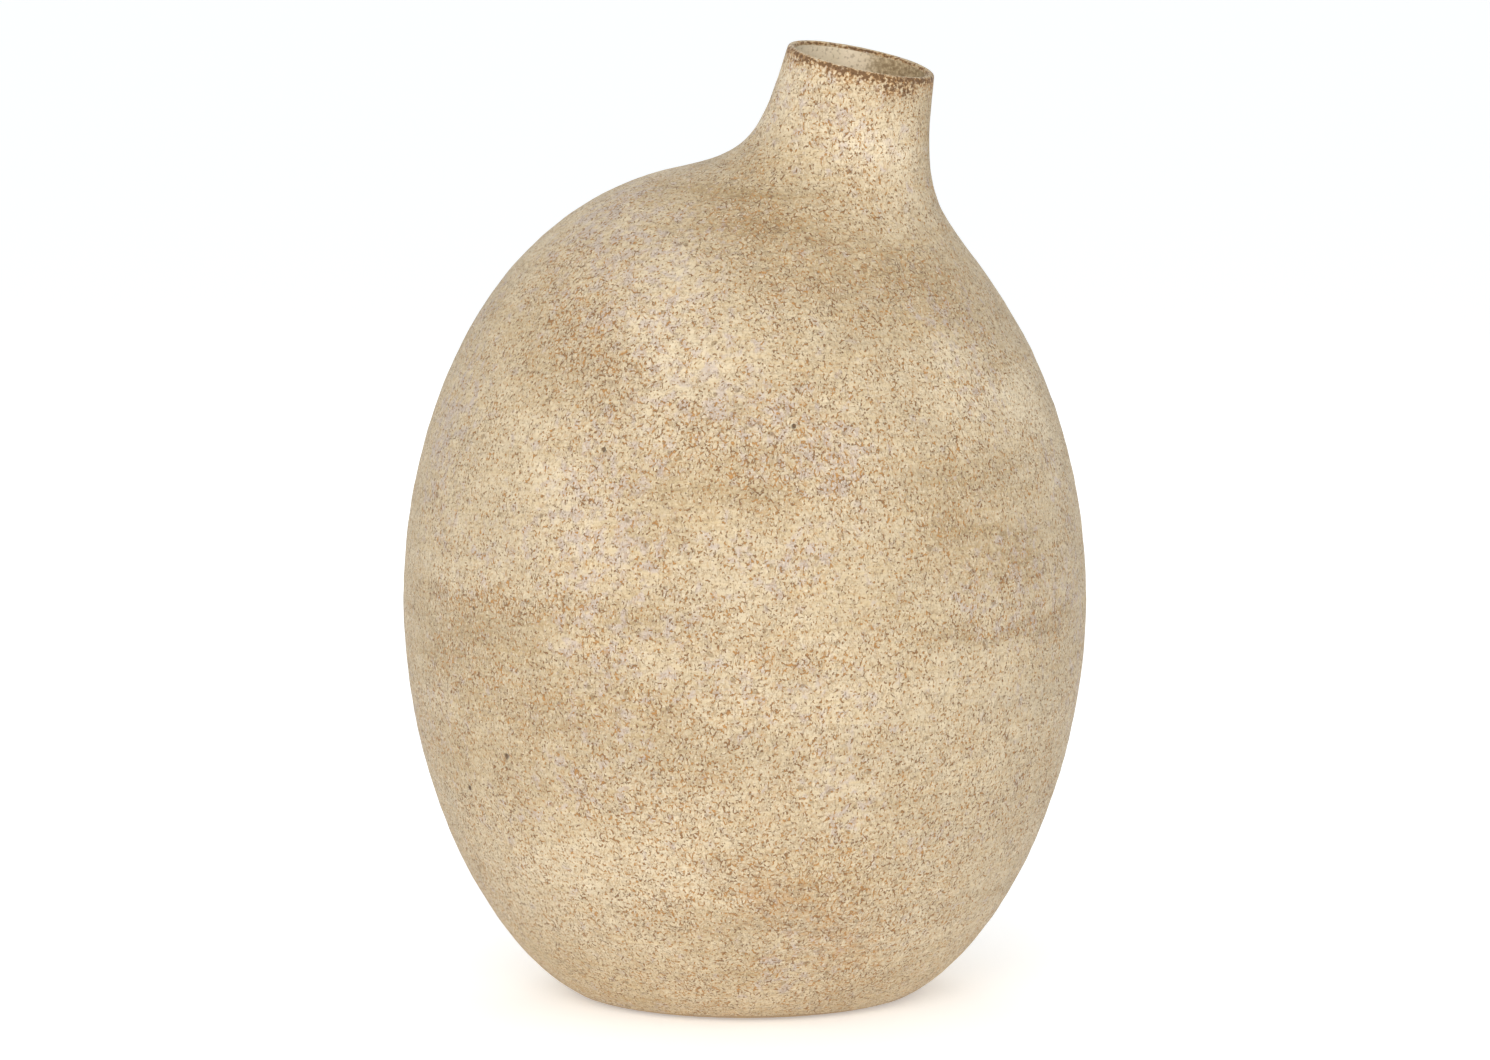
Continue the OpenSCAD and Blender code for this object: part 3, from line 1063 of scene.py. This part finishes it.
def make_base_slab(body):
    """Floor: side, rounded foot ring, turned recess, floor inside and the wall's groove."""
    angles = bearings(SLAB_COLUMNS)
    edge = 1.0 * MM
    t_top = height_param(body, body.floor_height)
    t_low = height_param(body, body.foot_height + edge)
    t = t_top + column(12) * (t_low - t_top)
    outer, outer_n = outer_skin(lambda s: base(s, body), t, angles, False)
    foot = base(height_param(body, body.foot_height), body)[0]
    low, high = body.foot_height, body.foot_height + body.recess
    ring = foot - body.foot_ring
    wall = ring - body.recess
    section = section_of(
        base(t_low, body),
        (6, (foot, low), (foot - 1.4 * edge, low)),
        (9, (ring + edge, low)),
        (5, (ring, low), (ring - 0.7 * edge, low + 0.7 * edge)),
        (6, (wall, high), (wall - edge, high)),
        (40, (0.0, high)),
    )
    under_r, under_z = outline_normals(section)
    under, under_n = pressed(
        turned(section[:, :1], section[:, 1:], angles),
        turned(under_r, under_z, angles),
        turning_relief,
    )
    under[0], under[-1] = outer[-1], under[-1].mean(0)
    joint = floor_joint_radius(body)
    groove = joint_rows(angles, joint, body.floor_height, body, body.joint_gap, True)
    reach = np.linspace(0, joint - body.tongue_width / 2 - body.joint_gap, 26)[:, None]
    top = turned(reach, body.floor_height, angles)
    top_n = np.broadcast_to((0.0, 0.0, 1.0), top.shape)
    top, top_n = pressed(top, top_n, inner_relief)
    top[0], top[-1] = top[0].mean(0), groove[0]
    patches = [patch(outer, outer_n, SLIP), patch(under, under_n, BARE)]
    patches += [patch(top, top_n, INSIDE, fresh=True)]
    patches += strips([top[-1], *groove[1:], outer[0]], BARE)
    return sew("base_slab_skin", "base_slab", "stoneware", patches, finishes())


def make_felt_pad(number, material):
    """A felt dot: a disc with rounded edges, matted all over, on its CAD node's place."""
    low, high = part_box(f"felt_pad_{number}")
    radius = (high.x - low.x) / 2
    angles = bearings(PAD_COLUMNS)
    soft = 0.5 * MM
    section = section_of(
        (0.0, high.z),
        (22, (radius - soft, high.z)),
        (5, (radius, high.z), (radius, high.z - soft)),
        (7, (radius, low.z + soft)),
        (5, (radius, low.z), (radius - soft, low.z)),
        (22, (0.0, low.z)),
    )
    out_r, out_z = outline_normals(section)
    centre = np.array([(low.x + high.x) / 2, (low.y + high.y) / 2, 0])
    points = turned(section[:, :1], section[:, 1:], angles) + centre
    points, normals = pressed(points, turned(out_r, out_z, angles), wool_relief)
    points[0], points[-1] = points[0].mean(0), points[-1].mean(0)
    patches = [patch(points, normals, 0)]
    pad = sew(f"felt_dot_{number}", f"felt_pad_{number}", "felt", patches, [material])
    return pad


# ---- Studio ----


def aim(thing, place, target):
    """Puts a light or camera at a place and turns it to a target."""
    thing.location = place
    thing.rotation_euler = (Vector(target) - Vector(place)).to_track_quat("-Z", "Y").to_euler()


def from_bearing(azimuth, elevation, distance, target):
    """A place seen from a target at an azimuth and elevation, in degrees."""
    a, e = math.radians(azimuth), math.radians(elevation)
    back = Vector((math.sin(a) * math.cos(e), -math.cos(a) * math.cos(e), math.sin(e)))
    return Vector(target) + back * distance


class VaseStudio(bpy.types.PropertyGroup):
    """Camera and lights."""

    azimuth: amount("Camera azimuth", "Degrees that the camera stands round from the front", 28.3)
    elevation: amount("Camera elevation", "Degrees that the camera stands above the table", 7.05)
    distance: length("Camera distance", "Distance of the camera from the vase's middle", 2.5)
    aim_height: length("Aim height", "Height that the camera looks at", 0.1901)
    lens: amount("Lens", "Focal length on a sensor 36 millimetres wide", 147.56, unit="CAMERA")
    ambient: amount("Ambient", "Strength of the white surroundings", 0.76)
    key: amount("Key", "Power of the soft box at the front, in watts", 40.0, unit="POWER")
    back: amount("Back", "Power of the soft box behind the vase, in watts", 7.0, unit="POWER")


FLOOR_RADIUS = 40.0
# Soft boxes: colour, side in metres, degrees round from the camera, degrees up, metres away
BOXES = {
    "key": ((1.0, 0.965, 0.905), 1.6, -6, 20, 2.7),
    "back": ((0.92, 0.97, 1.0), 1.0, 180, 27, 2.4),
}


def make_floor():
    """A wide pale disc under the vase, which glows a little like a light table."""
    points = turned(np.array([[FLOOR_RADIUS]]), np.array([[0.0]]), bearings(96))[0]
    mesh = bpy.data.meshes.new("studio_floor")
    mesh.from_pydata(points.tolist(), [], [list(range(len(points)))])
    constants = {"Specular IOR Level": 0.1, "Emission Strength": 0.31}
    material, shader, place = new_material("studio_paper", constants)
    grain = place.noise(3.0, 2.0)
    colour = (grain * 0.01 + 0.92).grey()
    finish_with(shader, colour, grain * 0.02 + 0.9, grain * 0.02, 0.2)
    shader.inputs["Emission Color"].default_value = (1.0, 1.0, 1.0, 1.0)
    mesh.materials.append(material)
    floor = placed("studio_floor", mesh)


def make_soft_box(name, colour, power, size, place, target):
    """A square area light that faces the vase."""
    light = bpy.data.lights.new(name, "AREA")
    light.color = colour
    light.energy = power
    light.size = size
    aim(placed(name, light), place, target)


def make_camera(studio):
    """The camera, at the angle from which the vase is mostly seen."""
    data = bpy.data.cameras.new("studio_camera")
    data.sensor_width = 36.0
    data.lens = studio.lens
    data.clip_start, data.clip_end = 0.05, 50.0
    camera = placed("studio_camera", data)
    target = (0.0, 0.0, studio.aim_height)
    place = from_bearing(studio.azimuth, studio.elevation, studio.distance, target)
    aim(camera, place, target)
    bpy.context.scene.camera = camera


def make_world(strength):
    """White surroundings."""
    world = bpy.data.worlds.new("studio_white")
    world.use_nodes = True
    background = world.node_tree.nodes["Background"]
    background.inputs["Color"].default_value = (0.955, 0.985, 1.0, 1.0)
    background.inputs["Strength"].default_value = strength
    bpy.context.scene.world = world


# ---- Operators ----


class VASE_OT_lower_bowl(bpy.types.Operator):
    """Makes the thrown lower half of the body"""

    bl_idname = "vase.lower_bowl"
    bl_label = "Lower bowl"

    def execute(self, context):
        make_lower_bowl(context.scene.vase_body)
        return {"FINISHED"}


class VASE_OT_upper_dome(bpy.types.Operator):
    """Makes the thrown upper half of the body"""

    bl_idname = "vase.upper_dome"
    bl_label = "Upper dome"

    def execute(self, context):
        make_upper_dome(context.scene.vase_body, context.scene.vase_neck)
        return {"FINISHED"}


class VASE_OT_neck_collar(bpy.types.Operator):
    """Makes the leaning neck with its lip and skirt"""

    bl_idname = "vase.neck_collar"
    bl_label = "Neck collar"

    def execute(self, context):
        make_neck_collar(context.scene.vase_body, context.scene.vase_neck)
        return {"FINISHED"}


class VASE_OT_base_slab(bpy.types.Operator):
    """Makes the clay floor with its foot ring"""

    bl_idname = "vase.base_slab"
    bl_label = "Base slab"

    def execute(self, context):
        make_base_slab(context.scene.vase_body)
        return {"FINISHED"}


class VASE_OT_felt_pads(bpy.types.Operator):
    """Makes the felt dots under the foot"""

    bl_idname = "vase.felt_pads"
    bl_label = "Felt pads"

    def execute(self, context):
        material = felt_material(context.scene.vase_slip)
        pads = [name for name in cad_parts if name.startswith("felt_pad_")]
        for number in range(1, len(pads) + 1):
            make_felt_pad(number, material)
        return {"FINISHED"}


class VASE_OT_studio(bpy.types.Operator):
    """Makes the floor, the lights and the camera"""

    bl_idname = "vase.studio"
    bl_label = "Studio"

    def execute(self, context):
        studio = context.scene.vase_studio
        make_floor()
        make_world(studio.ambient)
        target = (0.0, 0.0, studio.aim_height)
        for name, (colour, size, turn, elevation, distance) in BOXES.items():
            place = from_bearing(studio.azimuth + turn, elevation, distance, target)
            make_soft_box(f"{name}_box", colour, getattr(studio, name), size, place, target)
        make_camera(studio)
        context.scene.view_settings.view_transform = "Standard"
        return {"FINISHED"}


class VASE_PT_pieces(bpy.types.Panel):
    """Lists the pieces in the sidebar"""

    bl_idname = "VASE_PT_pieces"
    bl_label = "Stoneware vase"
    bl_space_type = "VIEW_3D"
    bl_region_type = "UI"
    bl_category = "Vase"

    def draw(self, context):
        for operator in OPERATORS:
            self.layout.operator(operator.bl_idname)
        for group in GROUPS:
            settings = getattr(context.scene, group)
            box = self.layout.box()
            for name in settings.__annotations__:
                box.prop(settings, name)


OPERATORS = (
    VASE_OT_base_slab,
    VASE_OT_lower_bowl,
    VASE_OT_upper_dome,
    VASE_OT_neck_collar,
    VASE_OT_felt_pads,
    VASE_OT_studio,
)
GROUPS = {
    "vase_body": VaseBody,
    "vase_neck": VaseNeck,
    "vase_slip": VaseSlip,
    "vase_studio": VaseStudio,
}


def register():
    for group in GROUPS.values():
        bpy.utils.register_class(group)
    for name, group in GROUPS.items():
        setattr(bpy.types.Scene, name, bpy.props.PointerProperty(type=group))
    for operator in OPERATORS:
        bpy.utils.register_class(operator)
    bpy.utils.register_class(VASE_PT_pieces)


def unregister():
    bpy.utils.unregister_class(VASE_PT_pieces)
    for operator in reversed(OPERATORS):
        bpy.utils.unregister_class(operator)
    for name, group in GROUPS.items():
        delattr(bpy.types.Scene, name)
        bpy.utils.unregister_class(group)


def main():
    """Makes everything."""
    register()
    bpy.ops.vase.base_slab()
    bpy.ops.vase.lower_bowl()
    bpy.ops.vase.upper_dome()
    bpy.ops.vase.neck_collar()
    bpy.ops.vase.felt_pads()
    bpy.ops.vase.studio()


if __name__ == "__main__":
    main()
